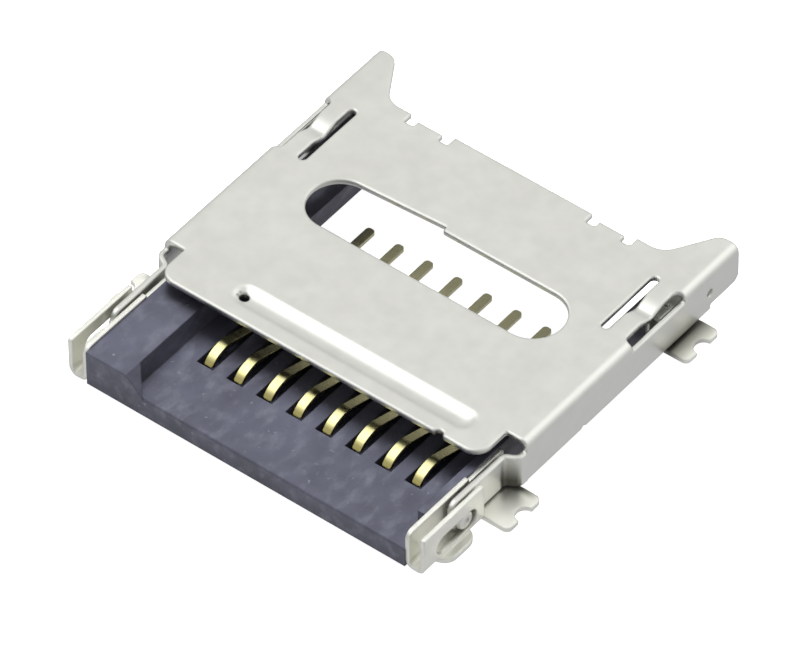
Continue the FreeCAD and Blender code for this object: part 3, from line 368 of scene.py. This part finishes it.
def dress(node, material):
    """Give a CAD node one finish and smooth its rounded parts."""
    node.data.materials.clear()
    node.data.materials.append(material)
    for polygon in node.data.polygons:
        polygon.material_index = 0
    bpy.context.view_layer.objects.active = node
    node.select_set(True)
    bpy.ops.object.shade_smooth_by_angle(angle=math.radians(FOLD_ANGLE))
    node.select_set(False)


for name, node in sorted(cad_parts.items()):
    finish = next(material for start, material in FINISHES.items() if name.startswith(start))
    dress(node, finish)
print("dressed", len(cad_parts), "nodes")

# %% [markdown]
# ## Smooth copies with worn edges
# The cover and the contacts are springs with soft bends, and the model's loose triangles leave bands in
# them. A node's own mesh isn't changed, so a merged copy stands for it. Its bends can be shaded across,
# while its flats keep their own direction, because a weighted normal follows the larger face. Stamping
# and tumbling have also worn the steel's cut edges round, which shows as a bright line. A narrow bevel
# modifier gives the copy that line. It follows the steep edges alone. Arcs at its outer corners and no
# sliding along neighbouring edges keep thin spikes off it. The rear brackets are worn in the same way. The
# front brackets and the pins keep the model's own meshes, because a bevel grows spikes on the small curls
# of the front brackets.

# %% Smooth copies
SAME_POINT = 2e-7
FLAT = math.radians(0.3)
CUT_EDGE = math.radians(60)
CONTACT_FOLD_ANGLE = 50.0
COVER_RIM = 0.045
BRACKET_RIM = 0.02
FLATS_LEAD = 100


def smooth_copy(name, body, crease=FOLD_ANGLE, rim=0.0):
    """Replace a CAD node by a merged copy with smooth bends, and with worn edges where a rim is given."""
    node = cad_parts[name]
    mesh = node.data.copy()
    form = bmesh.new()
    form.from_mesh(mesh)
    bmesh.ops.remove_doubles(form, verts=form.verts, dist=SAME_POINT)
    bmesh.ops.dissolve_limit(form, angle_limit=FLAT, verts=form.verts, edges=form.edges, delimit={"NORMAL"})
    for face in form.faces:
        face.smooth = True
    for edge in form.edges:
        edge.smooth = len(edge.link_faces) == 2 and edge.calc_face_angle() < math.radians(crease)
    form.to_mesh(mesh)
    form.free()
    copy = bpy.data.objects.new(name + "_smooth", mesh)
    scene.collection.objects.link(copy)
    if rim:
        worn = copy.modifiers.new("worn edge", "BEVEL")
        worn.limit_method = "ANGLE"
        worn.angle_limit = CUT_EDGE
        worn.width = rim * MM
        worn.segments = 2
        worn.use_clamp_overlap = False
        worn.miter_outer = "MITER_ARC"
        worn.loop_slide = False
    weighted = copy.modifiers.new("flats", "WEIGHTED_NORMAL")
    weighted.keep_sharp = True
    weighted.weight = FLATS_LEAD
    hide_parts(name)
    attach(copy, body)
    print(copy.name + ":", len(mesh.polygons), "faces before its worn edges")


smooth_copy("cover_shell", "cover", rim=COVER_RIM)
for number in range(1, 9):
    smooth_copy(f"contact_{number}", "base", crease=CONTACT_FOLD_ANGLE)
for bracket in ("rear_bracket_left", "rear_bracket_right"):
    smooth_copy(bracket, "base", rim=BRACKET_RIM)

# %% [markdown]
# ## Paper
# A catalogue picture stands on white. More light would make the paper white and burn out the part, so the
# paper glows a little by itself, and a Light Path node says for whom. The camera gets nearly the whole
# glow. Other scattered light gets about a quarter of it, as a soft bounce into the shadows. The metal
# mirrors an even grey, because the steel's walls would vanish in front of white if they mirrored white.

# %% Paper
PAPER_HALF = 0.6
PAPER_SHADE = (0.8, 0.8, 0.8)
CAMERA_GLOW = 0.92
BOUNCE = 0.25
MIRRORED_PAPER = (0.63, 0.63, 0.65)


def make_paper():
    """Lay the sheet of paper on which the part stands."""
    mesh = bpy.data.meshes.new("paper")
    form = bmesh.new()
    bmesh.ops.create_grid(form, x_segments=1, y_segments=1, size=PAPER_HALF)
    form.to_mesh(mesh)
    form.free()
    paper = bpy.data.objects.new("paper", mesh)
    scene.collection.objects.link(paper)
    material, tree, shader = start_material("paper_white", PAPER_SHADE, roughness=0.9, specular=0.0)
    light_path = tree.nodes.new("ShaderNodeLightPath")
    strength = tree.nodes.new("ShaderNodeMapRange")
    strength.inputs["To Min"].default_value = BOUNCE
    strength.inputs["To Max"].default_value = CAMERA_GLOW
    tree.links.new(light_path.outputs["Is Camera Ray"], strength.inputs["Value"])
    glow = tree.nodes.new("ShaderNodeEmission")
    tree.links.new(strength.outputs["Result"], glow.inputs["Strength"])
    lit = tree.nodes.new("ShaderNodeAddShader")
    tree.links.new(shader.outputs["BSDF"], lit.inputs[0])
    tree.links.new(glow.outputs["Emission"], lit.inputs[1])
    even = tree.nodes.new("ShaderNodeEmission")
    even.inputs["Color"].default_value = (*MIRRORED_PAPER, 1.0)
    blend = tree.nodes.new("ShaderNodeMixShader")
    tree.links.new(light_path.outputs["Is Glossy Ray"], blend.inputs["Fac"])
    tree.links.new(lit.outputs["Shader"], blend.inputs[1])
    tree.links.new(even.outputs["Emission"], blend.inputs[2])
    tree.links.new(blend.outputs["Shader"], tree.nodes["Material Output"].inputs["Surface"])
    mesh.materials.append(material)
    print("paper:", 2 * PAPER_HALF, "m square")


make_paper()

# %% [markdown]
# ## The room that metal mirrors
# Metal has no shade of its own, only what it mirrors, so a photographer sets pale boards round it. Boards
# could be modelled as planes, but they would also throw light and shadows. Here the world itself holds
# them: each direction has a value that grows from the camera's side to the back, and each bright panel
# adds to it near the panel's own direction. A panel is a direction, a strength, and the cosines of the
# angles at which it starts and is full.

# %% Panels
PANELS = [
    ((-0.44, -0.16, 0.88), 1.15, 0.84, 0.97),
    ((-0.44, -0.64, 0.63), 0.6, 0.86, 0.96),
    ((0.4, 0.6, 0.7), 0.5, 0.82, 0.97),
]


def add_panel(tree, direction, towards, strength, edge, core):
    """Return a value that rises to a strength where a direction is within a soft edged round panel."""
    dot = tree.nodes.new("ShaderNodeVectorMath")
    dot.operation = "DOT_PRODUCT"
    dot.inputs[1].default_value = Vector(towards).normalized()
    tree.links.new(direction, dot.inputs[0])
    rise = tree.nodes.new("ShaderNodeMapRange")
    rise.interpolation_type = "SMOOTHSTEP"
    rise.inputs["From Min"].default_value = edge
    rise.inputs["From Max"].default_value = core
    rise.inputs["To Max"].default_value = strength
    tree.links.new(dot.outputs["Value"], rise.inputs["Value"])
    return rise.outputs["Result"]


# %% [markdown]
# ## The world
# One world has to serve two kinds of rays. Mirrored rays see the room with its panels, and all other rays
# see a dim room without them, so that the plastic is lit by the lamps and keeps its dark colour. A Light
# Path node tells the two apart.

# %% World
ROOM = [
    (0.0, (0.25, 0.25, 0.27)),
    (0.2, (0.42, 0.42, 0.44)),
    (0.5, (0.78, 0.78, 0.79)),
    (0.78, (0.915, 0.915, 0.9)),
    (1.0, (0.82, 0.82, 0.83)),
]
ROOM_LIGHT = (0.15, 0.15, 0.16)


def make_world():
    """Surround the part with the room, which grows in brightness from -Y to +Y."""
    world = bpy.data.worlds.new("studio")
    scene.world = world
    world.use_nodes = True
    tree = world.node_tree
    background = tree.nodes["Background"]
    place = tree.nodes.new("ShaderNodeTexCoord")
    split = tree.nodes.new("ShaderNodeSeparateXYZ")
    tree.links.new(place.outputs["Generated"], split.inputs["Vector"])
    depth = tree.nodes.new("ShaderNodeMapRange")
    depth.inputs["From Min"].default_value = -1.0
    depth.inputs["From Max"].default_value = 1.0
    tree.links.new(split.outputs["Y"], depth.inputs["Value"])
    room = ramp(tree, depth.outputs["Result"], ROOM)
    mirrored = room
    for towards, strength, edge, core in PANELS:
        glow = add_panel(tree, place.outputs["Generated"], towards, strength, edge, core)
        mirrored = mix_colour(tree, 1.0, mirrored, glow, "ADD")
    dim = mix_colour(tree, 1.0, room, ROOM_LIGHT, "MULTIPLY")
    light_path = tree.nodes.new("ShaderNodeLightPath")
    colour = mix_colour(tree, light_path.outputs["Is Glossy Ray"], dim, mirrored)
    tree.links.new(colour, background.inputs["Color"])
    print("world:", len(PANELS), "panels")


make_world()

# %% [markdown]
# ## Lamps
# The base takes its shade from lamps. A lamp in front would light the hollow under the cover, which is
# black on the real part, so the large key lamp stands behind and above: it rakes over the part and leaves
# that hollow dark. A small lamp low in front lifts the base's front wall alone. Metal mirrors neither,
# because a lamp's round image on the sheet would look like a stain of light. Lengths are in metres, power
# in watts.

# %% Lamps
def make_lamp(name, direction, distance, size, power):
    """Add a round lamp that shines on the part from a direction, and that metal doesn't mirror."""
    data = bpy.data.lights.new(name, "AREA")
    data.shape = "DISK"
    data.size = size
    data.energy = power
    lamp = bpy.data.objects.new(name, data)
    scene.collection.objects.link(lamp)
    lamp.location = Vector(direction).normalized() * distance
    lamp.rotation_euler = lamp.location.to_track_quat("Z", "Y").to_euler()
    lamp.visible_glossy = False
    print(name + ":", power, "W")


make_lamp("key_lamp", (-0.3, 0.45, 0.84), distance=0.35, size=0.22, power=2.0)
make_lamp("front_lamp", (0.15, -0.98, 0.13), distance=0.35, size=0.07, power=0.35)

# %% [markdown]
# ## Camera
# The picture was taken with a long lens from far away, so lines that are parallel on the part stay nearly
# parallel. Turning a camera by hand until it looks right takes long. Instead a camera was fitted to
# points whose places on the part are known, such as the contact row, and its place and axes are written
# down here.

# %% Camera
CAMERA_PLACE = (0.1349037, -0.1658375, 0.2215398)
RIGHT = Vector((0.783105, 0.621777, -0.011799))
UP = Vector((-0.440919, 0.568500, 0.694549))
BACK = Vector((0.438562, -0.538702, 0.719349))
LENS = 474.095
SENSOR_WIDTH = 36.0
NEAREST = 0.01
FARTHEST = 10.0
camera_data = bpy.data.cameras.new("camera")
camera_data.sensor_width = SENSOR_WIDTH
camera_data.lens = LENS
camera_data.clip_start = NEAREST
camera_data.clip_end = FARTHEST
camera = bpy.data.objects.new("camera", camera_data)
scene.collection.objects.link(camera)
camera_axes = Matrix((RIGHT, UP, BACK)).transposed().to_4x4()
camera.matrix_world = Matrix.Translation(CAMERA_PLACE) @ camera_axes
scene.camera = camera
scene.view_settings.view_transform = "Standard"
print("camera:", LENS, "mm lens,", round(Vector(CAMERA_PLACE).length, 3), "m away")
